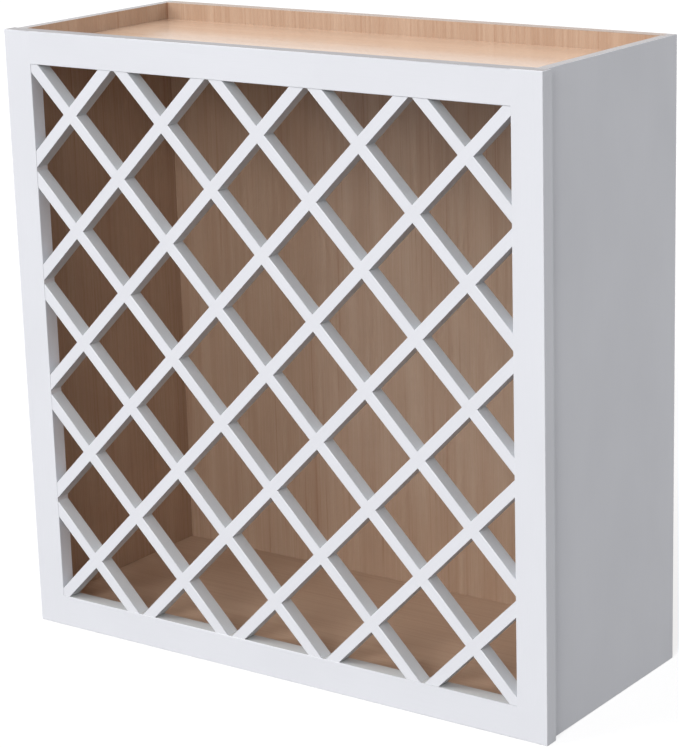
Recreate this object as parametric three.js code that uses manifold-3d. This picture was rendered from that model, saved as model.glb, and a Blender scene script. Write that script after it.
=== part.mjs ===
// Wine cabinet for a wall: a painted face frame on a maple-faced plywood case. The
// opening of the frame is filled with a diagonal lattice of half-lapped bars, and each
// diamond of it takes one bottle.
//
// Sizes are in millimetres. X runs to the right, Y from front to back and Z up. The
// origin is in the middle of the footprint, at the height of the lowest edges.

import * as THREE from "three";
import { mergeVertices } from "three/addons/utils/BufferGeometryUtils.js";
import loadManifold from "manifold-3d";

const manifold = await loadManifold();
manifold.setup();

// Overall sizes
const cabinetWidth = 762;
const cabinetHeight = 762;
const cabinetDepth = 304.8;

// Face frame: two full-height stiles with two rails doweled between them
const frameThickness = 19;
const stileWidth = 40;
const topRailWidth = 40;
const bottomRailWidth = 40;
const frameOverhang = 6.35;
const frameGrooveDepth = 5;
const dowelDiameter = 6;
const dowelLength = 30;
const dowelChamfer = 0.8;
const dowelSpacing = 20;
const dowelsPerCorner = 2;
const dowelClearance = 0.3;
const dowelSides = 16;

// Case: grooved sides that carry the two decks and the back
const sideThickness = 12;
const deckThickness = 12;
const topRecess = 21;
const bottomRecess = 19;
const deckGrooveDepth = 6;
const backThickness = 6;
const backGrooveDepth = 6;
const hangingRailThickness = 12;
const hangingRailHeight = 80;
const grooveClearance = 0.15;

// Lattice: a sheet of whole diamonds, slightly larger than the opening and cut off along
// its edges, so the outermost crossings would lie a little way behind the frame
const diamondsPerRow = 5;
const diamondsPerColumn = 5;
const latticeTrim = 12.55;
const barWidth = 14.3;
const latticeSetback = 0.5;
const latticeClearance = 0.3;
const lapClearance = 0.15;

// How far every cutter runs past the piece that it cuts
const overrun = 5;

// Places that follow from the sizes
const frontY = -cabinetDepth / 2;
const rearY = cabinetDepth / 2;
const frameBackY = frontY + frameThickness;
const grooveFloorY = frameBackY - frameGrooveDepth;
const backRearY = rearY - hangingRailThickness;
const backFrontY = backRearY - backThickness;

const frameOuterX = cabinetWidth / 2;
const openingX = frameOuterX - stileWidth;
const sideOuterX = frameOuterX - frameOverhang;
const sideInnerX = sideOuterX - sideThickness;

const openingLowZ = bottomRailWidth;
const openingHighZ = cabinetHeight - topRailWidth;
const bottomDeckLowZ = bottomRecess;
const bottomDeckHighZ = bottomDeckLowZ + deckThickness;
const topDeckHighZ = cabinetHeight - topRecess;
const topDeckLowZ = topDeckHighZ - deckThickness;

// Finishes
const paint = { color: "#e8e9ee", roughness: 0.45, metalness: 0 };
const maple = { color: "#dcb894", roughness: 0.5, metalness: 0 };
const birch = { color: "#dfc9a2", roughness: 0.7, metalness: 0 };

const cabinet = new THREE.Group();
cabinet.name = "wine_cabinet";

// A closed geometry as a solid that can be cut
function toSolid(geometry) {
  const bare = geometry.clone();
  bare.deleteAttribute("normal");
  bare.deleteAttribute("uv");
  const merged = mergeVertices(bare);
  return new manifold.Manifold(
    new manifold.Mesh({
      numProp: 3,
      vertProperties: new Float32Array(merged.attributes.position.array),
      triVerts: new Uint32Array(merged.index.array),
    }),
  );
}

// A solid as a geometry with flat-shaded faces
function toGeometry(solid) {
  const mesh = solid.getMesh();
  const shared = new THREE.BufferGeometry();
  shared.setAttribute("position", new THREE.BufferAttribute(mesh.vertProperties, mesh.numProp));
  shared.setIndex(new THREE.BufferAttribute(mesh.triVerts, 1));
  const flat = shared.toNonIndexed();
  flat.computeVertexNormals();
  return flat;
}

function cut(geometry, cutters) {
  let solid = toSolid(geometry);
  for (const cutter of cutters) {
    solid = solid.subtract(toSolid(cutter));
  }
  return toGeometry(solid);
}

// A box between two limits on each axis. Its corners take the limits themselves, so that
// boxes which share a limit meet exactly.
function block(x, y, z) {
  const geometry = new THREE.BoxGeometry(1, 1, 1);
  const corners = geometry.attributes.position;
  for (let i = 0; i < corners.count; i += 1) {
    corners.setXYZ(
      i,
      x[corners.getX(i) < 0 ? 0 : 1],
      y[corners.getY(i) < 0 ? 0 : 1],
      z[corners.getZ(i) < 0 ? 0 : 1],
    );
  }
  return geometry;
}

// An outline drawn in X and Z, given thickness from y[0] to y[1]
function standingPrism(outline, y) {
  const geometry = new THREE.ExtrudeGeometry(new THREE.Shape(outline), {
    depth: y[1] - y[0],
    bevelEnabled: false,
  });
  geometry.rotateX(Math.PI / 2);
  geometry.translate(0, y[1], 0);
  return geometry;
}

// An outline drawn in X and Y, given thickness from z[0] to z[1]
function lyingPrism(outline, z) {
  const geometry = new THREE.ExtrudeGeometry(new THREE.Shape(outline), {
    depth: z[1] - z[0],
    bevelEnabled: false,
  });
  geometry.translate(0, 0, z[0]);
  return geometry;
}

// A turned rod along X with its ends from x[0] to x[1] and a chamfer at each end
function rod(radius, chamfer, x, centreY, centreZ) {
  const half = (x[1] - x[0]) / 2;
  const profile = [
    new THREE.Vector2(0, -half),
    new THREE.Vector2(radius - chamfer, -half),
    new THREE.Vector2(radius, chamfer - half),
    new THREE.Vector2(radius, half - chamfer),
    new THREE.Vector2(radius - chamfer, half),
    new THREE.Vector2(0, half),
  ];
  const geometry = new THREE.LatheGeometry(profile, dowelSides);
  geometry.rotateZ(-Math.PI / 2);
  geometry.translate((x[0] + x[1]) / 2, centreY, centreZ);
  return geometry;
}

// Limits along X on the right side of the cabinet, mirrored for a piece on the left
function onSide(side, inner, outer) {
  return side < 0 ? [-outer, -inner] : [inner, outer];
}

// A range widened by the same amount at both ends
function widened(range, amount) {
  return [range[0] - amount, range[1] + amount];
}

function addPiece(name, geometry, finish) {
  const piece = new THREE.Mesh(geometry, new THREE.MeshStandardMaterial(finish));
  piece.name = name;
  cabinet.add(piece);
}

const sides = [
  { name: "left", sign: -1 },
  { name: "right", sign: 1 },
];

const frameY = [frontY, frameBackY];
const fullHeight = [0, cabinetHeight];
const topDeckZ = [topDeckLowZ, topDeckHighZ];
const bottomDeckZ = [bottomDeckLowZ, bottomDeckHighZ];

// Dowels of the face frame. They lie midway between its front and the floor of the
// grooves in its back, half in the rail and half in the stile.
const dowelRadius = dowelDiameter / 2;
const dowelY = (frontY + grooveFloorY) / 2;

function dowelPlaces(railZ) {
  const middle = (railZ[0] + railZ[1]) / 2;
  const lowest = middle - (dowelSpacing * (dowelsPerCorner - 1)) / 2;
  return Array.from({ length: dowelsPerCorner }, (_, i) => lowest + i * dowelSpacing);
}

function dowel(side, z, clearance) {
  const reach = dowelLength / 2 + clearance;
  const x = onSide(side, openingX - reach, openingX + reach);
  return rod(dowelRadius + clearance, dowelChamfer, x, dowelY, z);
}

const rails = [
  { name: "top", z: [openingHighZ, cabinetHeight], deckZ: topDeckZ },
  { name: "bottom", z: [0, openingLowZ], deckZ: bottomDeckZ },
];

// Stiles, with a groove down the back for the front edge of the side panel
for (const side of sides) {
  const body = block(onSide(side.sign, openingX, frameOuterX), frameY, fullHeight);
  const groove = block(
    widened(onSide(side.sign, sideInnerX, sideOuterX), grooveClearance),
    [grooveFloorY - grooveClearance, frameBackY + overrun],
    widened(fullHeight, overrun),
  );
  const holes = rails.flatMap((rail) =>
    dowelPlaces(rail.z).map((z) => dowel(side.sign, z, dowelClearance)),
  );
  addPiece(`stile_${side.name}`, cut(body, [groove, ...holes]), paint);
}

// Rails, with a groove along the back for the front edge of the deck
for (const rail of rails) {
  const body = block([-openingX, openingX], frameY, rail.z);
  const groove = block(
    widened([-openingX, openingX], overrun),
    [grooveFloorY - grooveClearance, frameBackY + overrun],
    widened(rail.deckZ, grooveClearance),
  );
  const holes = sides.flatMap((side) =>
    dowelPlaces(rail.z).map((z) => dowel(side.sign, z, dowelClearance)),
  );
  addPiece(`rail_${rail.name}`, cut(body, [groove, ...holes]), paint);
}

for (const rail of rails) {
  for (const side of sides) {
    dowelPlaces(rail.z).forEach((z, i) => {
      addPiece(`frame_dowel_${rail.name}_${side.name}_${i + 1}`, dowel(side.sign, z, 0), birch);
    });
  }
}

// Side panels, grooved across for the two decks and down the rear for the back panel
const sideY = [grooveFloorY, rearY];
const backY = [backFrontY, backRearY];

for (const side of sides) {
  const body = block(onSide(side.sign, sideInnerX, sideOuterX), sideY, fullHeight);
  const deckGrooves = [topDeckZ, bottomDeckZ].map((deckZ) =>
    block(
      onSide(side.sign, sideInnerX - overrun, sideInnerX + deckGrooveDepth + grooveClearance),
      [grooveFloorY - overrun, backFrontY],
      widened(deckZ, grooveClearance),
    ),
  );
  const backGroove = block(
    onSide(side.sign, sideInnerX - overrun, sideInnerX + backGrooveDepth + grooveClearance),
    widened(backY, grooveClearance),
    widened(fullHeight, overrun),
  );
  addPiece(`side_${side.name}`, cut(body, [...deckGrooves, backGroove]), paint);
}

// Decks. A tongue as long as the rail enters the groove in the rail, and the shoulders
// beside it stop behind the stiles.
const deckX = sideInnerX + deckGrooveDepth;
const tongueX = openingX - grooveClearance;
const deckRearY = backFrontY - grooveClearance;
const deckOutline = [
  new THREE.Vector2(-tongueX, grooveFloorY),
  new THREE.Vector2(tongueX, grooveFloorY),
  new THREE.Vector2(tongueX, frameBackY + grooveClearance),
  new THREE.Vector2(deckX, frameBackY + grooveClearance),
  new THREE.Vector2(deckX, deckRearY),
  new THREE.Vector2(-deckX, deckRearY),
  new THREE.Vector2(-deckX, frameBackY + grooveClearance),
  new THREE.Vector2(-tongueX, frameBackY + grooveClearance),
];
addPiece("top_panel", lyingPrism(deckOutline, topDeckZ), maple);
addPiece("bottom_panel", lyingPrism(deckOutline, bottomDeckZ), maple);

// Back panel, and the rails behind it that are screwed to the wall
const backX = sideInnerX + backGrooveDepth;
addPiece("back_panel", block([-backX, backX], backY, fullHeight), maple);

const hangingRails = {
  hanging_rail_top: [cabinetHeight - hangingRailHeight, cabinetHeight],
  hanging_rail_bottom: [0, hangingRailHeight],
};
for (const [name, z] of Object.entries(hangingRails)) {
  addPiece(name, block([-sideInnerX, sideInnerX], [backRearY, rearY], z), maple);
}

// Lattice. A bar is a straight strip that runs from corner to corner of its diamonds, at
// a set distance from the middle of the opening. The rising bars run through in front
// and are notched from behind, and the falling bars are notched from the front, so each
// crossing is a half lap.
const latticeY = [frontY + latticeSetback, frameBackY];
const lapY = (latticeY[0] + latticeY[1]) / 2;
const openingHalfHeight = (openingHighZ - openingLowZ) / 2;
const latticeMiddle = new THREE.Vector2(0, openingLowZ + openingHalfHeight);
const latticeReach = Math.hypot(openingX, openingHalfHeight) + overrun;
const diamondWidth = (2 * (openingX + latticeTrim)) / diamondsPerRow;
const diamondHeight = (2 * (openingHalfHeight + latticeTrim)) / diamondsPerColumn;
const barAngle = Math.atan2(diamondHeight, diamondWidth);
const barSpacing = diamondHeight * Math.cos(barAngle);

function strip(slope, offset, width) {
  const along = new THREE.Vector2(Math.cos(barAngle), slope * Math.sin(barAngle));
  const across = new THREE.Vector2(-along.y, along.x);
  const corners = [
    [-1, -1],
    [1, -1],
    [1, 1],
    [-1, 1],
  ];
  return corners.map(([end, edge]) =>
    latticeMiddle
      .clone()
      .addScaledVector(along, end * latticeReach)
      .addScaledVector(across, offset + (edge * width) / 2),
  );
}

// The part of a convex outline on the near side of a straight edge
function clip(outline, room) {
  return outline.flatMap((point, i) => {
    const next = outline[(i + 1) % outline.length];
    const here = room(point);
    const there = room(next);
    const kept = here >= 0 ? [point] : [];
    if (here * there < 0) {
      kept.push(point.clone().lerp(next, here / (here - there)));
    }
    return kept;
  });
}

function withinOpening(outline) {
  const edges = [
    (point) => openingX - latticeClearance - point.x,
    (point) => openingX - latticeClearance + point.x,
    (point) => openingHighZ - latticeClearance - point.y,
    (point) => point.y - openingLowZ - latticeClearance,
  ];
  return edges.reduce(clip, outline);
}

const barsPerFamily = diamondsPerRow + diamondsPerColumn - 1;
const offsets = Array.from(
  { length: barsPerFamily },
  (_, i) => (i - (barsPerFamily - 1) / 2) * barSpacing,
);

const families = [
  { name: "rise", slope: 1, notchY: [lapY - lapClearance, latticeY[1] + overrun] },
  { name: "fall", slope: -1, notchY: [latticeY[0] - overrun, lapY + lapClearance] },
];
for (const family of families) {
  const notches = offsets.map((offset) =>
    standingPrism(strip(-family.slope, offset, barWidth + 2 * lapClearance), family.notchY),
  );
  offsets.forEach((offset, i) => {
    const bar = standingPrism(withinOpening(strip(family.slope, offset, barWidth)), latticeY);
    addPiece(`lattice_${family.name}_${i + 1}`, cut(bar, notches), paint);
  });
}

export default cabinet;
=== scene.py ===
"""The looks of a wall-hung wine cabinet with a fixed diagonal lattice front.

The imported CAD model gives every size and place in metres: X to the right, Y to the back, Z up.
Each operator dresses one group of its pieces, and the last one makes the floor, light and camera.
"""

import math

import bmesh
import bpy
from mathutils import Matrix, Quaternion, Vector


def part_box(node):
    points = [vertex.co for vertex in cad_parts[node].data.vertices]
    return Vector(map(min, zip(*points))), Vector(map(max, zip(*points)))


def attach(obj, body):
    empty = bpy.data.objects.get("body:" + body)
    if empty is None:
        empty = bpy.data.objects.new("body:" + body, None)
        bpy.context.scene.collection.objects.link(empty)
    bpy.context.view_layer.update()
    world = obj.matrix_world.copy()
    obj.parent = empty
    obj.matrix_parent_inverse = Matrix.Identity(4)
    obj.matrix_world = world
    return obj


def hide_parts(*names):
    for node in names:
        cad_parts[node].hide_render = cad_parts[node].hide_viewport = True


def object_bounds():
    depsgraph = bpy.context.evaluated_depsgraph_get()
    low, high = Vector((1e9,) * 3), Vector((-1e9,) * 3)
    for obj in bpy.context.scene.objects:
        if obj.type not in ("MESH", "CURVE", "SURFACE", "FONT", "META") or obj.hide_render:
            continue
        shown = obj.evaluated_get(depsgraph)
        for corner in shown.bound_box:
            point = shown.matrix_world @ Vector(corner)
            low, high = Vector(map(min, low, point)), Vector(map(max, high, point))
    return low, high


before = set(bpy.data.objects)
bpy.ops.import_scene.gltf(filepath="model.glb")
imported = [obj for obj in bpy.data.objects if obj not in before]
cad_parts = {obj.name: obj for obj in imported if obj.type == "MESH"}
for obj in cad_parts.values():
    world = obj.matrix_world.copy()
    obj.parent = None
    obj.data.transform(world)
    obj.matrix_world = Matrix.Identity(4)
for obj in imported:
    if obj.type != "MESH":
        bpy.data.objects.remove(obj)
CAD_BOX = [list(corner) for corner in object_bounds()]

bl_info = {
    "name": "Lattice Wine Cabinet",
    "version": (1, 0, 0),
    "blender": (4, 5, 0),
    "location": "3D View > Sidebar > Wine Cabinet",
    "description": "Dresses a painted wine cabinet with a diagonal bottle lattice and a maple inside",
    "category": "Add Mesh",
}

MM = 0.001
ROOT_HALF = math.sqrt(0.5)
ON_PLANE = 0.5 * MM  # a face this near a plane of the cabinet lies on it
SQUARE_ON = 0.9  # a unit normal with more than this along an axis faces along it
FLAT = 0.99  # a face is part of an eased edge where its normal has less along every axis
SAME_POINT = 0.001 * MM  # points this near each other become one
NO_LENGTH = 0.0001 * MM  # an edge this short is taken out
FLOOR_GAP = 0.2 * MM  # keeps the floor from lying in the cabinet's lowest faces

# The inputs and the output of a colour Mix node, which share their names with its other kinds.
MIX_FACTOR, MIX_FIRST, MIX_SECOND, MIX_RESULT = 0, 6, 7, 2


def linear(hex_colour):
    """An sRGB hex colour as the linear RGBA that colour sockets and properties hold."""
    shares = [int(hex_colour[i : i + 2], 16) / 255 for i in (1, 3, 5)]
    return (*[s / 12.92 if s <= 0.04045 else ((s + 0.055) / 1.055) ** 2.4 for s in shares], 1.0)


def length(name, description, millimetres):
    """A length property that a user can change."""
    return bpy.props.FloatProperty(
        name=name,
        description=description,
        default=millimetres * MM,
        min=0.0,
        precision=5,
        subtype="DISTANCE",
        unit="LENGTH",
    )


def colour(name, description, hex_colour):
    """A colour property that a user can change."""
    return bpy.props.FloatVectorProperty(
        name=name,
        description=description,
        default=linear(hex_colour),
        size=4,
        min=0.0,
        max=1.0,
        subtype="COLOR",
    )


class WineCabinetSizes(bpy.types.PropertyGroup):
    """The small sizes that the CAD model leaves to the looks."""

    frame_arris: length(
        "Frame arris", "Radius that sandpaper leaves on the edges of the face frame", 0.7
    )
    bar_arris: length("Bar arris", "Radius on the long edges of the lattice bars", 0.5)
    panel_arris: length("Panel arris", "Radius on the edges of the sides and the back", 0.4)
    bar_width: length("Bar width", "Width of a lattice bar, as in the CAD model", 14.3)
    lap_gap: length("Lap gap", "Hairline left beside a bar in its half lap", 0.02)
    end_gap: length("End gap", "Hairline between a bar's end and the face frame", 0.08)
    groove_gap: length("Groove gap", "Play of a panel in its groove", 0.15)
    hole_gap: length("Hole gap", "Room left round a dowel in its drilled hole", 0.1)
    hole_steps: bpy.props.IntProperty(
        name="Hole steps", description="Facets round each dowel hole", default=24, min=8, max=64
    )
    arris_steps: bpy.props.IntProperty(
        name="Arris steps", description="Facets round each eased edge", default=3, min=1, max=8
    )


class WineCabinetColours(bpy.types.PropertyGroup):
    """The finishes' colours."""

    paint: colour("Paint", "Cool white lacquer on the frame, the lattice and the sides", "#E9EAEF")
    # Painted shade: the bars' sides get a darker, cooler white than their fronts, for the shade
    # between the bars.
    sawn_paint: colour("Sawn paint", "The lacquer on the sawn sides of the bars", "#DCE0E4")
    # Painted shade: the rails' edges at the opening get a darker grey, for the lattice's shade on
    # them.
    rail_paint: colour("Rail paint", "The lacquer on the rails' edges at the opening", "#C9CBCC")
    # Painted shade: the next three greyer tones darken the outermost top and bottom faces of the
    # frame, the sides and the maple boards, and the sides' rear edges.
    frame_edge: colour("Frame edge", "Lacquer on the frame's open upper and lower edges", "#ABA8A9")
    shaded_edge_paint: colour("Edge paint", "The lacquer where a side's open edge drinks it in", "#BAB7B7")
    ply_edge: colour("Ply edge", "Thinly sealed plywood edges of the maple boards", "#BBADA4")
    maple: colour("Maple", "Early wood of the clear-coated maple veneer", "#BFA58F")
    maple_dark: colour("Maple, late wood", "Late wood of the maple veneer", "#AD8E77")
    maple_line: colour("Maple, growth line", "Thin reddish growth lines of the veneer", "#9B7057")
    birch: colour("Birch", "Turned birch dowel pins", "#DFC9A2")
    birch_dark: colour("Birch, late wood", "Late wood of the dowel pins", "#C7A97C")
    floor: colour("Floor", "Pale studio floor, before it is lifted to white", "#959595")
    floor_bounce: colour("Floor bounce", "What the floor throws back on the cabinet", "#616161")
    ambient: colour("Ambient", "The studio's soft light from all sides", "#FAFBFF")


# Materials


def add(tree, kind, values=None, links=None, **settings):
    """Adds a node with its settings, its sockets' values and the links that reach its sockets."""
    node = tree.nodes.new(kind)
    for name, value in settings.items():
        setattr(node, name, value)
    for socket, value in (values or {}).items():
        node.inputs[socket].default_value = value
    for socket, output in (links or {}).items():
        tree.links.new(output, node.inputs[socket])
    return node


def new_material(name):
    """An empty node material and its tree, which an operator fills once."""
    material = bpy.data.materials.new(name)
    material.use_nodes = True
    material.node_tree.nodes.clear()
    return material, material.node_tree


def noise_along(tree, across, along, grain_axis, turn=0.0, **values):
    """Noise whose grains are `across` metres wide and `along` metres long.

    The grain runs along one axis of the cabinet. `turn` tips it about Y, from X towards Z.
    """
    scale = [1 / across] * 3
    scale["XYZ".index(grain_axis)] = 1 / along
    place = add(tree, "ShaderNodeTexCoord").outputs["Object"]
    if turn:
        turned = add(
            tree,
            "ShaderNodeMapping",
            {"Rotation": (0.0, turn, 0.0)},
            {"Vector": place},
        )
        place = turned.outputs["Vector"]
    scaled = add(tree, "ShaderNodeMapping", {"Scale": scale}, {"Vector": place})
    settings = {"Scale": 1.0, "Detail": 3.0, "Roughness": 0.55, **values}
    noise = add(tree, "ShaderNodeTexNoise", settings, {"Vector": scaled.outputs["Vector"]})
    return noise.outputs["Fac"]


def scaled_tone(tone, share):
    """A colour made lighter or darker, with its alpha left whole."""
    return [c * share for c in tone[:3]] + [1.0]


def stretched(tree, value, low, high, to_low=0.0, to_high=1.0):
    """Spreads the part of a value between low and high, smoothly, over a new range."""
    spread = add(
        tree,
        "ShaderNodeMapRange",
        {"From Min": low, "From Max": high, "To Min": to_low, "To Max": to_high},
        {"Value": value},
        interpolation_type="SMOOTHSTEP",
    )
    return spread.outputs["Result"]


def blend_colour(tree, factor, first, second):
    """Mixes two colours, each a fixed one or another node's output."""
    values, links = {}, {MIX_FACTOR: factor}
    for socket, tone in ((MIX_FIRST, first), (MIX_SECOND, second)):
        if isinstance(tone, bpy.types.NodeSocket):
            links[socket] = tone
        else:
            values[socket] = tuple(tone)
    mix = add(tree, "ShaderNodeMix", values, links, data_type="RGBA")
    return mix.outputs[MIX_RESULT]


def relief(tree, *layers):
    """Bumps laid one over another, each a height and its depth in metres."""
    normal = None
    for height, depth in layers:
        links = {"Height": height}
        if normal is not None:
            links["Normal"] = normal
        bump = add(tree, "ShaderNodeBump", {"Strength": 1.0, "Distance": depth}, links)
        normal = bump.outputs["Normal"]
    return normal


def finish_off(tree, values, links):
    """Ends a tree in a Principled shader."""
    shader = add(tree, "ShaderNodeBsdfPrincipled", values, links)
    add(tree, "ShaderNodeOutputMaterial", links={"Surface": shader.outputs["BSDF"]})


def satin_lacquer(name, tones, grain_axis, turn=0.0, tone="paint"):
    """Sprayed satin lacquer on close-grained hardwood, sanded between coats.

    It gives the eye an even cool white with a soft sheen. Near to, the sheen breaks up on the
    orange peel of the spray gun and on the wood's grain, which shows faintly through the film.
    `tone` names the paint's colour, darker on the bars' sawn sides and the rails' edges: painted
    shade.
    """
    material, tree = new_material(name)
    # Orange peel is about 1.5 mm across and a few hundredths of a millimetre deep.
    peel = noise_along(tree, 1.5 * MM, 1.5 * MM, grain_axis, Detail=2.0)
    # Maple's grain telegraphs as ridges about 1.2 mm apart and 60 mm long.
    grain = noise_along(tree, 1.2 * MM, 60 * MM, grain_axis, turn, Detail=2.0)
    # The film builds up and thins out over about a hand's width.
    cloud = noise_along(tree, 90 * MM, 160 * MM, grain_axis, turn, Detail=2.0)
    full = getattr(tones, tone)
    thin = scaled_tone(full, 0.955)
    base = blend_colour(tree, stretched(tree, cloud, 0.3, 0.7, 0.0, 0.5), full, thin)
    base = blend_colour(tree, stretched(tree, grain, 0.45, 0.75, 0.0, 0.35), base, thin)
    finish_off(
        tree,
        {"IOR": 1.48, "Metallic": 0.0},
        {
            "Base Color": base,
            "Roughness": stretched(tree, cloud, 0.25, 0.75, 0.38, 0.47),
            "Normal": relief(tree, (grain, 0.012 * MM), (peel, 0.02 * MM)),
        },
    )
    return material


def shaded_edge_lacquer(name, tones, grain_axis, tone="shaded_edge_paint"):
    """Sprayed lacquer on sawn edges and end grain of hardwood and plywood.

    These edges are flatter than the faces, with the plies and saw marks as faint stripes. They are
    also greyer than the faces: painted shade on the outermost top and bottom faces and side edges.
    """
    material, tree = new_material(name)
    # Sawn fibres lie in stripes about 2 mm apart, drawn a little coarser than they are.
    fibres = noise_along(tree, 2.0 * MM, 25 * MM, grain_axis, Detail=3.0)
    cloud = noise_along(tree, 40 * MM, 80 * MM, grain_axis, Detail=2.0)
    # Painted shade: this tone is greyer than the faces' paint, which darkens these faces.
    sealed = getattr(tones, tone)
    thirsty = scaled_tone(sealed, 0.9)
    base = blend_colour(tree, stretched(tree, fibres, 0.35, 0.7), sealed, thirsty)
    finish_off(
        tree,
        {"IOR": 1.45, "Metallic": 0.0},
        {
            "Base Color": base,
            "Roughness": stretched(tree, cloud, 0.3, 0.7, 0.6, 0.72),
            "Normal": relief(tree, (fibres, 0.03 * MM)),
        },
    )
    return material


def maple_veneer(name, tones, grain_axis, figure=1.0, shade=1.0, dullness=0.28):
    """Quarter-cut maple veneer under a clear satin coat.

    It gives the eye a warm pinkish tan with fine straight lines, a few of them darker, on slow
    bands of lighter and darker wood, and a low sheen. `figure` scales how strongly they show,
    `shade` how light the sheet is, and `dullness` is how rough its clear coat is. A `shade` above 1
    is painted light, which makes the level boards and the top deck lighter than the upright ones.
    """
    material, tree = new_material(name)
    early, late, line = (
        scaled_tone(tone, shade) for tone in (tones.maple, tones.maple_dark, tones.maple_line)
    )
    # Sheets of veneer shift in tone over 35 mm, growth lines lie 3 to 4 mm apart.
    bands = noise_along(tree, 35 * MM, 900 * MM, grain_axis, Detail=2.0)
    growth = noise_along(tree, 3.5 * MM, 260 * MM, grain_axis, Detail=3.0, Roughness=0.6)
    lines = noise_along(tree, 4.5 * MM, 420 * MM, grain_axis, Detail=4.0, Roughness=0.7)
    # Pores are 0.1 mm wide, too fine for the picture, and are drawn 0.8 mm wide.
    pores = noise_along(tree, 0.8 * MM, 12 * MM, grain_axis, Detail=1.0)
    base = blend_colour(tree, stretched(tree, bands, 0.3, 0.7, 0.0, 0.6 * figure), early, late)
    base = blend_colour(tree, stretched(tree, growth, 0.4, 0.68, 0.0, 0.75 * figure), base, late)
    base = blend_colour(tree, stretched(tree, lines, 0.56, 0.7, 0.0, 0.55 * figure), base, line)
    base = blend_colour(tree, stretched(tree, pores, 0.62, 0.78, 0.0, 0.25 * figure), base, line)
    finish_off(
        tree,
        {"IOR": 1.5, "Metallic": 0.0},
        {
            "Base Color": base,
            "Roughness": stretched(tree, growth, 0.3, 0.7, dullness - 0.04, dullness + 0.04),
            "Normal": relief(tree, (growth, 0.015 * MM), (pores, 0.02 * MM)),
        },
    )
    return material


def turned_birch(name, tones, grain_axis):
    """Turned birch pins, left bare: pale cream with short fine streaks and no sheen."""
    material, tree = new_material(name)
    # Birch fibres show as streaks about 0.7 mm apart and 9 mm long on a 6 mm pin.
    streaks = noise_along(tree, 0.7 * MM, 9 * MM, grain_axis)
    base = blend_colour(tree, stretched(tree, streaks, 0.35, 0.7), tones.birch, tones.birch_dark)
    finish_off(
        tree,
        {"IOR": 1.5, "Metallic": 0.0},
        {
            "Base Color": base,
            "Roughness": stretched(tree, streaks, 0.3, 0.7, 0.6, 0.7),
            "Normal": relief(tree, (streaks, 0.03 * MM)),
        },
    )
    return material


def finish(name, maker, *settings):
    """The material of that name, made on its first use."""
    tones = bpy.context.scene.wine_cabinet_colours
    return bpy.data.materials.get(name) or maker(name, tones, *settings)


# Meshes


def eased_ring(along, low, high, near, far, radii, steps):
    """One cross-section with eased corners, as points of (along, across, depth).

    `radii` go round from the low near corner by the high near, high far and low far ones. A radius
    of zero leaves the corner sharp, with its points in one place, so every ring has as many.
    """
    corners = ((low, near, 1, 1), (high, near, -1, 1), (high, far, -1, -1), (low, far, 1, -1))
    ring = []
    for turn, ((across, depth, inward, deeper), radius) in enumerate(zip(corners, radii)):
        centre = (across + inward * radius, depth + deeper * radius)
        for step in range(steps + 1):
            angle = math.pi + (turn + step / steps) * math.pi / 2
            ring.append(
                Vector(
                    (
                        along,
                        centre[0] + radius * math.cos(angle),
                        centre[1] + radius * math.sin(angle),
                    )
                )
            )
    return ring


def rounded_end(place, inward, radius, steps):
    """How far a piece draws in round its end: pairs of a place along it and an inset."""
    turns = [step / steps * math.pi / 2 for step in range(steps + 1)]
    return [
        (place + inward * radius * (1 - math.cos(turn)), radius * (1 - math.sin(turn)))
        for turn in turns
    ]


def notch_ends(start, stop):
    """The four steps along a piece that a notch takes: whole, cut, cut and whole again."""
    return (start, False), (start, True), (stop, True), (stop, False)


def placing(origin, along, across, depth):
    """The matrix that lays a piece's own axes along three directions of the cabinet."""
    columns = (Vector(along), Vector(across), Vector(depth), Vector(origin))
    matrix = Matrix.Identity(4)
    for column, vector in enumerate(columns):
        for row in range(3):
            matrix[row][column] = vector[row]
    return matrix


def skin(name, rings, place, finishes, finish_for, fold=None):
    """Joins rings of as many points into one closed piece, capped at both ends.

    Wide faces stay flat and the narrow ones of an eased edge are shaded smooth. `finish_for` says
    from a face's centre and normal which of the finishes it has. `fold` names two points of a ring
    between which a pointed end's cap is creased.
    """
    mesh = bpy.data.meshes.new(name)
    work = bmesh.new()
    rows = [[work.verts.new(point) for point in ring] for ring in rings]
    count = len(rows[0])
    for row, following in zip(rows, rows[1:]):
        for i in range(count):
            j = (i + 1) % count
            work.faces.new((row[i], row[j], following[j], following[i]))
    for row in (rows[0], rows[-1]):
        if fold is None:
            work.faces.new(row)
        else:
            first, second = fold
            work.faces.new(row[first : second + 1])
            work.faces.new(row[second:] + row[: first + 1])
    bmesh.ops.remove_doubles(work, verts=work.verts, dist=SAME_POINT)
    bmesh.ops.dissolve_degenerate(work, edges=work.edges, dist=NO_LENGTH)
    for face in work.faces:
        face.normal_update()
        face.smooth = max(abs(c) for c in face.normal) < FLAT
    work.transform(place)
    work.normal_update()
    bmesh.ops.recalc_face_normals(work, faces=work.faces)
    # That makes the faces agree, but a slender piece can still come out inside out.
    if work.calc_volume(signed=True) < 0:
        bmesh.ops.reverse_faces(work, faces=work.faces)
    for face in work.faces:
        face.material_index = finish_for(face.calc_center_median(), face.normal)
    work.to_mesh(mesh)
    work.free()
    for material in finishes:
        mesh.materials.append(material)
    piece = bpy.data.objects.new(name, mesh)
    bpy.context.scene.collection.objects.link(piece)
    return piece


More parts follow.
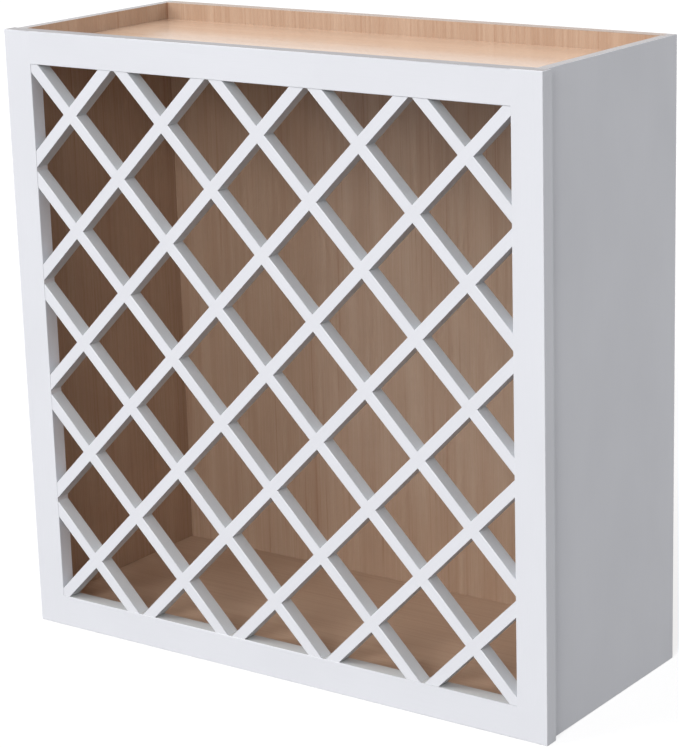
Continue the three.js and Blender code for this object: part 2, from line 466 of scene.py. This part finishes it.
def drill(piece, where):
    """Drills a piece for the dowels whose names say that they are `where`, such as "_left_"."""
    sizes = bpy.context.scene.wine_cabinet_sizes
    gap = sizes.hole_gap
    work = bmesh.new()
    for node in sorted(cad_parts):
        if not (node.startswith("frame_dowel_") and where in node):
            continue
        low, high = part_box(node)
        radius = (high.z - low.z) / 2 + gap
        # A cone of two like radii is a straight bit, here laid along X.
        laid = Matrix.Translation((low + high) / 2) @ Matrix.Rotation(math.pi / 2, 4, "Y")
        bmesh.ops.create_cone(
            work,
            cap_ends=True,
            segments=sizes.hole_steps,
            radius1=radius,
            radius2=radius,
            depth=high.x - low.x + 2 * gap,
            matrix=laid,
        )
    mesh = bpy.data.meshes.new("drill_bits")
    work.to_mesh(mesh)
    work.free()
    bits = bpy.data.objects.new("drill_bits", mesh)
    bpy.context.scene.collection.objects.link(bits)
    holes = piece.modifiers.new("dowel_holes", "BOOLEAN")
    holes.operation, holes.solver, holes.object = "DIFFERENCE", "EXACT", bits
    solid = piece.data
    ready = bpy.context.evaluated_depsgraph_get()
    piece.data = bpy.data.meshes.new_from_object(piece.evaluated_get(ready))
    piece.modifiers.clear()
    bpy.data.meshes.remove(solid)
    bpy.data.meshes.remove(mesh)
    piece.data.name = piece.name


def stand_for(piece, node):
    """Puts a piece in the place of its CAD node."""
    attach(piece, "root")
    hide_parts(node)


def on_top_or_bottom(centre, normal):
    """Whether a face is one of the cabinet's outermost upper or lower edges."""
    (_, _, floor), (_, _, top) = CAD_BOX
    outermost = min(abs(centre.z - floor), abs(centre.z - top)) < ON_PLANE
    return outermost and abs(normal.z) > SQUARE_ON


def on_sawn_side(centre, normal):
    """Whether a face of a lattice bar is one of its sides, and not its front, back or arris."""
    return abs(normal.y) < 1 - SQUARE_ON


def opening():
    """The face frame's opening: its middle, half its width and half its height."""
    left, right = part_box("stile_left")[1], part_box("stile_right")[0]
    bottom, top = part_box("rail_bottom")[1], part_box("rail_top")[0]
    middle = Vector(((left.x + right.x) / 2, 0.0, (bottom.z + top.z) / 2))
    return middle, (right.x - left.x) / 2, (top.z - bottom.z) / 2


# Operators


class WINE_CABINET_OT_face_frame(bpy.types.Operator):
    """Makes the face frame: two stiles with two rails between them, flush and tight"""

    bl_idname = "wine_cabinet.face_frame"
    bl_label = "Face Frame"
    bl_options = {"REGISTER", "UNDO"}

    def execute(self, context):
        sizes = context.scene.wine_cabinet_sizes
        arris, steps, gap = sizes.frame_arris, sizes.arris_steps, sizes.groove_gap
        middle, half_width, half_height = opening()
        upright = finish("satin_lacquer_upright", satin_lacquer, "Z")
        level = finish("satin_lacquer_level", satin_lacquer, "X")
        # Painted shade: the rails' edges at the opening get a darker paint.
        rail_shade_lacquer = finish("satin_lacquer_inner", satin_lacquer, "X", 0.0, "rail_paint")
        # Painted shade: the frame's outermost top and bottom faces get a greyer lacquer.
        edge = finish("edge_lacquer_level", shaded_edge_lacquer, "X", "frame_edge")
        x, y, z = Vector((1, 0, 0)), Vector((0, 1, 0)), Vector((0, 0, 1))

        # Grooves behind the frame hold the front edges of the sides and the decks.
        panel_low, panel_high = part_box("side_right")
        groove_floor = panel_low.y - gap
        groove = (panel_low.x - middle.x - gap, panel_high.x - middle.x + gap)
        decks = [
            (low.z - middle.z - gap, high.z - middle.z + gap)
            for low, high in map(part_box, ("bottom_panel", "top_panel"))
        ]

        def frame_finish(centre, normal):
            """0 on the faces; 1 on the outermost level edges and 2 on a rail's edge at the opening,
            both painted shade.
            """
            if on_top_or_bottom(centre, normal):
                return 1
            at_opening = abs(abs(centre.z - middle.z) - half_height) < ON_PLANE
            return 2 if at_opening and abs(normal.z) > SQUARE_ON else 0

        # The eased edge of the opening turns the corner on the stile, and fades out there.
        for side, outward in (("left", -x), ("right", x)):
            node = f"stile_{side}"
            low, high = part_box(node)
            outer = abs((high if side == "right" else low).x - middle.x)
            bottom, top = low.z - middle.z, high.z - middle.z
            stations = [(*end, 0.0, False) for end in rounded_end(bottom, 1, arris, steps)]
            stations += [(place, 0.0, 0.0, cut) for place, cut in notch_ends(*decks[0])]
            stations += [(-half_height - arris, 0.0, 0.0, False)]
            stations += [(-half_height, 0.0, arris, False), (half_height, 0.0, arris, False)]
            stations += [(half_height + arris, 0.0, 0.0, False)]
            stations += [(place, 0.0, 0.0, cut) for place, cut in notch_ends(*decks[1])]
            ends = rounded_end(top, -1, arris, steps)
            stations += [(*end, 0.0, False) for end in reversed(ends)]
            rings = []
            for along, inset, inner, cut in stations:
                back = high.y - inset
                ring = eased_ring(
                    along,
                    half_width,
                    outer - inset,
                    low.y + inset,
                    back,
                    (inner, arris, arris, 0.0),
                    steps,
                )
                # A deck's groove runs from the opening into the side's groove.
                beside = groove_floor if cut else back
                ring = ring[: -(steps + 1)]
                ring += [
                    Vector((along, groove[1], back)),
                    Vector((along, groove[1], groove_floor)),
                    Vector((along, groove[0], groove_floor)),
                    Vector((along, groove[0], beside)),
                    Vector((along, half_width, beside)),
                ]
                rings.append(ring)
            stile = skin(
                f"painted_{node}",
                rings,
                placing(middle, z, outward, y),
                (upright, edge),
                frame_finish,
            )
            drill(stile, f"_{side}_")
            stand_for(stile, node)

        for side, outward in (("bottom", -z), ("top", z)):
            node = f"rail_{side}"
            low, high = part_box(node)
            outer = abs((high if side == "top" else low).z - middle.z)
            near, far = sorted(abs(edge) for edge in decks[side == "top"])
            rings = []
            for along in (low.x - middle.x, high.x - middle.x):
                radii = (arris, arris, arris, 0.0)
                ring = eased_ring(along, half_height, outer, low.y, high.y, radii, steps)
                ring = ring[: -(steps + 1)]
                ring += [
                    Vector((along, far, high.y)),
                    Vector((along, far, groove_floor)),
                    Vector((along, near, groove_floor)),
                    Vector((along, near, high.y)),
                    Vector((along, half_height, high.y)),
                ]
                rings.append(ring)
            rail = skin(
                f"painted_{node}",
                rings,
                placing(middle, x, outward, y),
                (level, edge, rail_shade_lacquer),
                frame_finish,
            )
            drill(rail, f"_{side}_")
            stand_for(rail, node)
        return {"FINISHED"}


class WINE_CABINET_OT_lattice(bpy.types.Operator):
    """Makes the diagonal lattice: two families of bars, half lapped where they cross"""

    bl_idname = "wine_cabinet.lattice"
    bl_label = "Lattice"
    bl_options = {"REGISTER", "UNDO"}

    def execute(self, context):
        sizes = context.scene.wine_cabinet_sizes
        half = sizes.bar_width / 2
        middle, half_width, half_height = opening()
        half_width -= sizes.end_gap
        half_height -= sizes.end_gap
        count = sum(1 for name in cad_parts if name.startswith("lattice_rise_"))
        # The lowest falling bar meets the opening's left and bottom edges. Its box reaches half a
        # bar's slanted width past its middle line.
        low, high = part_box("lattice_fall_1")
        slanted = half / ROOT_HALF
        first_offset = (high.x - slanted - middle.x + low.z - middle.z) * ROOT_HALF
        spacing = first_offset / -((count - 1) / 2)
        offsets = [first_offset + spacing * i for i in range(count)]
        # Falling bars run from upper left to lower right, rising bars from lower left to upper
        # right. The rising ones run through in front, the falling ones behind.
        for number, offset in enumerate(offsets, 1):
            crossings = [
                other
                for other in offsets
                if abs(other - offset) + 2 * half <= half_width / ROOT_HALF
                and abs(other + offset) + 2 * half <= half_height / ROOT_HALF
            ]
            for family, slope in (("rise", 1), ("fall", -1)):
                name = f"lattice_{family}_{number}"
                places = crossings if family == "rise" else sorted(-c for c in crossings)
                self.bar(context, name, family == "rise", slope, offset, places)
        return {"FINISHED"}

    def bar(self, context, node, leads, slope, offset, crossings):
        """Makes one bar. One that leads has whole front faces at its laps, and is cut behind."""
        sizes = context.scene.wine_cabinet_sizes
        arris, steps, half = sizes.bar_arris, sizes.arris_steps, sizes.bar_width / 2
        reach = half + sizes.lap_gap
        middle, half_width, half_height = opening()
        low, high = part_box(node)
        front, back = low.y, high.y
        lap = (front + back) / 2

        def end_place(across, way):
            """Where a line along the bar meets the opening, on the bar's own axis."""
            place = offset + across
            wide = (half_width - sizes.end_gap) / ROOT_HALF
            tall = (half_height - sizes.end_gap) / ROOT_HALF
            if way < 0:
                return max(slope * place - wide, -slope * place - tall)
            return min(wide + slope * place, tall - slope * place)

        def ring(along, outer_arris, whole):
            """One cross-section. Its face at the lap is kept whole, or its lapped face cut away."""
            near, far, near_arris, far_arris = front, back, outer_arris, arris
            if not leads:
                near_arris, far_arris = arris, outer_arris
            if not whole and leads:
                far, far_arris = lap, 0.0
            elif not whole:
                near, near_arris = lap, 0.0
            radii = (near_arris, near_arris, far_arris, far_arris)
            points = eased_ring(along, -half, half, near, far, radii, steps)
            corner = steps + 1
            # Points on the middle line take a pointed end, and points at the lap take the notch.
            return (
                points[:corner]
                + [Vector((along, 0.0, near))]
                + points[corner : 2 * corner]
                + [Vector((along, half, lap))]
                + points[2 * corner : 3 * corner]
                + [Vector((along, 0.0, far))]
                + points[3 * corner :]
                + [Vector((along, -half, lap))]
            )

        rings = [ring(0.0, arris, True)]
        for crossing in crossings:
            rings += [
                ring(crossing - reach, arris, True),
                ring(crossing - reach, arris, False),
                ring(crossing - half + arris, 0.0, False),
                ring(crossing + half - arris, 0.0, False),
                ring(crossing + reach, arris, False),
                ring(crossing + reach, arris, True),
            ]
        rings.append(ring(0.0, arris, True))
        for end, way in ((rings[0], -1), (rings[-1], 1)):
            for point in end:
                point.x = end_place(point.y, way)

        along = Vector((ROOT_HALF, 0.0, slope * ROOT_HALF))
        across = Vector((-slope * ROOT_HALF, 0.0, ROOT_HALF))
        place = placing(middle + across * offset, along, across, (0, 1, 0))
        way, turn = ("rising" if slope > 0 else "falling"), slope * math.pi / 4
        # Painted shade: the bars' sides get a darker, cooler paint than their fronts.
        finishes = (
            finish(f"satin_lacquer_{way}", satin_lacquer, "X", turn),
            finish(f"sawn_lacquer_{way}", satin_lacquer, "X", turn, "sawn_paint"),
        )
        # The points that `ring` puts on the middle line, in front and behind.
        fold = (steps + 1, 3 * (steps + 1) + 2)
        name = node.replace("lattice_", "lattice_bar_")
        bar = skin(name, rings, place, finishes, on_sawn_side, fold)
        stand_for(bar, node)


class WINE_CABINET_OT_side_panels(bpy.types.Operator):
    """Makes the two side panels, painted outside and maple inside, with their grooves"""

    bl_idname = "wine_cabinet.side_panels"
    bl_label = "Side Panels"
    bl_options = {"REGISTER", "UNDO"}

    def execute(self, context):
        sizes = context.scene.wine_cabinet_sizes
        arris, steps, gap = sizes.panel_arris, sizes.arris_steps, sizes.groove_gap
        upright = finish("satin_lacquer_upright", satin_lacquer, "Z")
        # Painted shade: the sides' top, bottom and rear edges get a greyer lacquer.
        edge = finish("edge_lacquer_deep", shaded_edge_lacquer, "Y")
        maple = finish("maple_veneer_upright", maple_veneer, "Z")
        back_low, back_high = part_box("back_panel")
        decks = [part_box(node) for node in ("bottom_panel", "top_panel")]

        for side, outward in (("left", -1), ("right", 1)):
            node = f"side_{side}"
            low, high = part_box(node)
            inner, outer = sorted((abs(low.x), abs(high.x)))
            groove = back_high.x
            stations = [(*end, False) for end in rounded_end(low.z, 1, arris, steps)]
            for deck_low, deck_high in decks:
                notch = notch_ends(deck_low.z - gap, deck_high.z + gap)
                stations += [(place, 0.0, cut) for place, cut in notch]
            ends = rounded_end(high.z, -1, arris, steps)
            stations += [(*end, False) for end in reversed(ends)]
            rings = []
            for along, inset, grooved in stations:
                face = groove if grooved else inner + inset
                ring = eased_ring(
                    along,
                    inner + inset,
                    outer - inset,
                    low.y,
                    high.y - inset,
                    (0.0, arris if inset else 0.0, arris, 0.0),
                    steps,
                )
                # The panel's inner face, from its back edge to its front one, with the groove
                # that holds the back. A deck's groove opens into it.
                ring = ring[steps + 1 : -(steps + 1)]
                ring += [
                    Vector((along, inner + inset, high.y - inset)),
                    Vector((along, inner + inset, back_high.y + gap)),
                    Vector((along, groove, back_high.y + gap)),
                    Vector((along, groove, back_low.y - gap)),
                    Vector((along, face, back_low.y - gap)),
                    Vector((along, face, low.y)),
                ]
                rings.append(ring)

            def side_finish(centre, normal, outward=outward, rear=high.y):
                if on_top_or_bottom(centre, normal):
                    return 1
                if abs(centre.y - rear) < ON_PLANE and normal.y > SQUARE_ON:
                    return 1
                return 2 if normal.x * outward < -SQUARE_ON else 0

            place = placing((0, 0, 0), (0, 0, 1), (outward, 0, 0), (0, 1, 0))
            panel = skin(f"panel_{node}", rings, place, (upright, edge, maple), side_finish)
            stand_for(panel, node)
        return {"FINISHED"}


class WINE_CABINET_OT_back(bpy.types.Operator):
    """Makes the maple back and the two hanging rails behind it, their outer edges greyed: painted
    shade
    """

    bl_idname = "wine_cabinet.back"
    bl_label = "Back and Hanging Rails"
    bl_options = {"REGISTER", "UNDO"}

    def execute(self, context):
        sizes = context.scene.wine_cabinet_sizes
        arris, steps = sizes.panel_arris, sizes.arris_steps
        # Painted shade: the boards' top and bottom faces get a greyer lacquer.
        edge = finish("sealed_ply_edge", shaded_edge_lacquer, "X", "ply_edge")
        upright = finish("maple_veneer_upright", maple_veneer, "Z")
        # Painted light: the level boards' maple is made lighter than the upright boards'.
        level = finish("maple_veneer_level", maple_veneer, "X", 0.4, 1.15, 0.4)
        for node, veneer in (
            ("back_panel", upright),
            ("hanging_rail_top", level),
            ("hanging_rail_bottom", level),
        ):
            low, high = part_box(node)
            rings = [
                eased_ring(along, low.z, high.z, low.y, high.y, (arris,) * 4, steps)
                for along in (low.x, high.x)
            ]
            place = placing((0, 0, 0), (1, 0, 0), (0, 0, 1), (0, 1, 0))
            board = skin(f"maple_{node}", rings, place, (veneer, edge), on_top_or_bottom)
            stand_for(board, node)
        return {"FINISHED"}


class WINE_CABINET_OT_decks(bpy.types.Operator):
    """Gives the decks their maple veneer on the CAD panels, painted lighter, the top one most, and
    glossier above
    """

    bl_idname = "wine_cabinet.decks"
    bl_label = "Decks"
    bl_options = {"REGISTER", "UNDO"}

    def execute(self, context):
        # Painted light: both decks' maple is made lighter than the upright boards', the top deck's
        # most.
        lower = finish("maple_veneer_level", maple_veneer, "X", 0.4, 1.15, 0.4)
        upper = finish("maple_veneer_deck", maple_veneer, "X", 0.5, 1.34, 0.17)
        for node, veneer in (("top_panel", upper), ("bottom_panel", lower)):
            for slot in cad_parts[node].material_slots:
                slot.material = veneer
        return {"FINISHED"}


class WINE_CABINET_OT_dowels(bpy.types.Operator):
    """Gives the frame's hidden dowel pins their bare birch, on the CAD pins as they are"""

    bl_idname = "wine_cabinet.dowels"
    bl_label = "Dowels"
    bl_options = {"REGISTER", "UNDO"}

    def execute(self, context):
        birch = finish("turned_birch", turned_birch, "X")
        for node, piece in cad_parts.items():
            if node.startswith("frame_dowel_"):
                for slot in piece.material_slots:
                    slot.material = birch
        return {"FINISHED"}


class WINE_CABINET_OT_stage(bpy.types.Operator):
    """Makes the pale floor, the soft studio light and the camera at the photograph's angle"""

    bl_idname = "wine_cabinet.stage"
    bl_label = "Stage"
    bl_options = {"REGISTER", "UNDO"}

    light_distance: bpy.props.FloatProperty(
        name="Light distance",
        description="From the cabinet to the softboxes, far enough for even light",
        default=30.0,
        unit="LENGTH",
    )
    key_power: bpy.props.FloatProperty(
        name="Key power",
        description="Power of the large softbox above and to the left",
        default=6300.0,
        unit="POWER",
    )
    fill_power: bpy.props.FloatProperty(
        name="Fill power",
        description="Power of the tall softbox in front, which grazes the right side",
        default=4480.0,
        unit="POWER",
    )
    rim_power: bpy.props.FloatProperty(
        name="Rim power",
        description="Power of the softbox behind, which lights the top deck over the back panel",
        default=3550.0,
        unit="POWER",
    )
    ambient_level: bpy.props.FloatProperty(
        name="Ambient level", description="Light that comes from all sides", default=0.45
    )
    floor_glow: bpy.props.FloatProperty(
        name="Floor glow",
        description="What lifts the floor to white where it shows, but for the shadow",
        default=0.74,
    )

    def execute(self, context):
        self.studio(context)
        self.floor(context)
        self.camera(context)
        return {"FINISHED"}

    @staticmethod
    def seen_directly(tree):
        """1 for a ray that shows the background: the camera's, or one seen in gloss or glass."""
        rays = add(tree, "ShaderNodeLightPath").outputs
        either = rays["Is Camera Ray"]
        for other in ("Is Glossy Ray", "Is Transmission Ray"):
            highest = add(
                tree,
                "ShaderNodeMath",
                links={0: either, 1: rays[other]},
                operation="MAXIMUM",
            )
            either = highest.outputs["Value"]
        return either

    def studio(self, context):
        """A white room whose walls light the cabinet softly, and three softboxes."""
        tones = context.scene.wine_cabinet_colours
        world = bpy.data.worlds.new("white_studio")
        world.use_nodes = True
        tree = world.node_tree
        tree.nodes.clear()
        soft = add(
            tree,
            "ShaderNodeBackground",
            {"Color": tuple(tones.ambient), "Strength": self.ambient_level},
        )
        white = add(tree, "ShaderNodeBackground", {"Color": (1.0, 1.0, 1.0, 1.0), "Strength": 1.0})
        room = add(
            tree,
            "ShaderNodeMixShader",
            links={
                0: self.seen_directly(tree),
                1: soft.outputs["Background"],
                2: white.outputs["Background"],
            },
        )
        add(tree, "ShaderNodeOutputWorld", links={"Surface": room.outputs["Shader"]})
        context.scene.world = world

        low, high = (Vector(corner) for corner in CAD_BOX)
        # The key is so wide that the lattice's shadows melt away on the back. The fill grazes the
        # side, so that the frame's overhang casts a soft shadow there. The rim light comes over the
        # back panel, which shades the rear of the top deck.
        for name, towards, power, width, height in (
            ("key_softbox", (-0.62, -0.46, 0.64), self.key_power, 22.0, 22.0),
            ("fill_softbox", (0.20, -0.90, 0.38), self.fill_power, 10.0, 16.0),
            ("rim_softbox", (0.20, 0.80, 0.55), self.rim_power, 16.0, 16.0),
        ):
            lamp = bpy.data.lights.new(name, "AREA")
            lamp.shape = "RECTANGLE"
            lamp.size, lamp.size_y = width, height
            lamp.energy = power
            softbox = bpy.data.objects.new(name, lamp)
            direction = Vector(towards).normalized()
            softbox.location = (low + high) / 2 + direction * self.light_distance
            softbox.rotation_mode = "QUATERNION"
            softbox.rotation_quaternion = direction.to_track_quat("Z", "Y")
            # The white room is what shows in the gloss, without hot spots on the deck.
            softbox.visible_camera = False
            softbox.visible_glossy = False
            context.scene.collection.objects.link(softbox)

    def floor(self, context):
        """A wide pale disc that keeps the cabinet's soft shadow and fades into the white room."""
        tones = context.scene.wine_cabinet_colours
        material, tree = new_material("matt_studio_floor")
        # Rolled studio paint: flat, with a stipple about 4 mm across.
        stipple = noise_along(tree, 4 * MM, 4 * MM, "X", Detail=2.0)
        worn = scaled_tone(tones.floor, 0.96)
        seen = self.seen_directly(tree)
        shown_tone = blend_colour(tree, stretched(tree, stipple, 0.3, 0.7), tones.floor, worn)
        lit = add(
            tree,
            "ShaderNodeBsdfDiffuse",
            {"Roughness": 1.0},
            {
                "Color": blend_colour(tree, seen, tones.floor_bounce, shown_tone),
                "Normal": relief(tree, (stipple, 0.1 * MM)),
            },
        )
        glow = add(
            tree,
            "ShaderNodeEmission",
            {"Color": (1.0, 1.0, 1.0, 1.0), "Strength": self.floor_glow},
        )
        lifted = add(
            tree,
            "ShaderNodeAddShader",
            links={0: lit.outputs["BSDF"], 1: glow.outputs["Emission"]},
        )
        shown = add(
            tree,
            "ShaderNodeMixShader",
            links={0: seen, 1: lit.outputs["BSDF"], 2: lifted.outputs["Shader"]},
        )
        add(tree, "ShaderNodeOutputMaterial", links={"Surface": shown.outputs["Shader"]})

        mesh = bpy.data.meshes.new("studio_floor")
        work = bmesh.new()
        bmesh.ops.create_circle(work, cap_ends=True, radius=14.0, segments=96)
        work.to_mesh(mesh)
        work.free()
        mesh.materials.append(material)
        disc = bpy.data.objects.new("studio_floor", mesh)
        disc.location.z = CAD_BOX[0][2] - FLOOR_GAP
        context.scene.collection.objects.link(disc)

    def camera(self, context):
        """The photograph's long lens, from the cabinet's right and a little above it.

        The photograph is cut from the left part of a wider picture, which the shift allows for in
        part: no more than keeps the cabinet whole when the camera goes round it.
        """
        azimuth, elevation, roll = (math.radians(angle) for angle in (34.869, 15.563, 1.350))
        lens = bpy.data.cameras.new("product_camera")
        lens.sensor_width = 36.0
        lens.lens = 119.633
        lens.shift_x = -0.0802
        lens.clip_start, lens.clip_end = 0.05, 100.0
        camera = bpy.data.objects.new("product_camera", lens)
        camera.location = (1.7259, -2.3560, 1.1561)
        forward = Vector(
            (
                -math.sin(azimuth) * math.cos(elevation),
                math.cos(azimuth) * math.cos(elevation),
                -math.sin(elevation),
            )
        )
        camera.rotation_mode = "QUATERNION"
        camera.rotation_quaternion = forward.to_track_quat("-Z", "Y") @ Quaternion(
            (0, 0, 1), -roll
        )
        context.scene.collection.objects.link(camera)
        context.scene.camera = camera


OPERATORS = (
    WINE_CABINET_OT_face_frame,
    WINE_CABINET_OT_lattice,
    WINE_CABINET_OT_side_panels,
    WINE_CABINET_OT_back,
    WINE_CABINET_OT_decks,
    WINE_CABINET_OT_dowels,
    WINE_CABINET_OT_stage,
)


class WINE_CABINET_PT_panel(bpy.types.Panel):
    """The cabinet's pieces, sizes and colours"""

    bl_label = "Wine Cabinet"
    bl_space_type = "VIEW_3D"
    bl_region_type = "UI"
    bl_category = "Wine Cabinet"

    def draw(self, context):
        for operator in OPERATORS:
            self.layout.operator(operator.bl_idname)
        for group in (context.scene.wine_cabinet_sizes, context.scene.wine_cabinet_colours):
            box = self.layout.box()
            for name in group.__annotations__:
                box.prop(group, name)


CLASSES = (WineCabinetSizes, WineCabinetColours, *OPERATORS, WINE_CABINET_PT_panel)


def register():
    for cls in CLASSES:
        bpy.utils.register_class(cls)
    bpy.types.Scene.wine_cabinet_sizes = bpy.props.PointerProperty(type=WineCabinetSizes)
    bpy.types.Scene.wine_cabinet_colours = bpy.props.PointerProperty(type=WineCabinetColours)


def unregister():
    del bpy.types.Scene.wine_cabinet_colours
    del bpy.types.Scene.wine_cabinet_sizes
    for cls in reversed(CLASSES):
        bpy.utils.unregister_class(cls)


def main():
    register()
    bpy.context.scene.view_settings.view_transform = "Standard"
    bpy.ops.wine_cabinet.face_frame()
    bpy.ops.wine_cabinet.lattice()
    bpy.ops.wine_cabinet.side_panels()
    bpy.ops.wine_cabinet.back()
    bpy.ops.wine_cabinet.decks()
    bpy.ops.wine_cabinet.dowels()
    bpy.ops.wine_cabinet.stage()


if __name__ == "__main__":
    main()
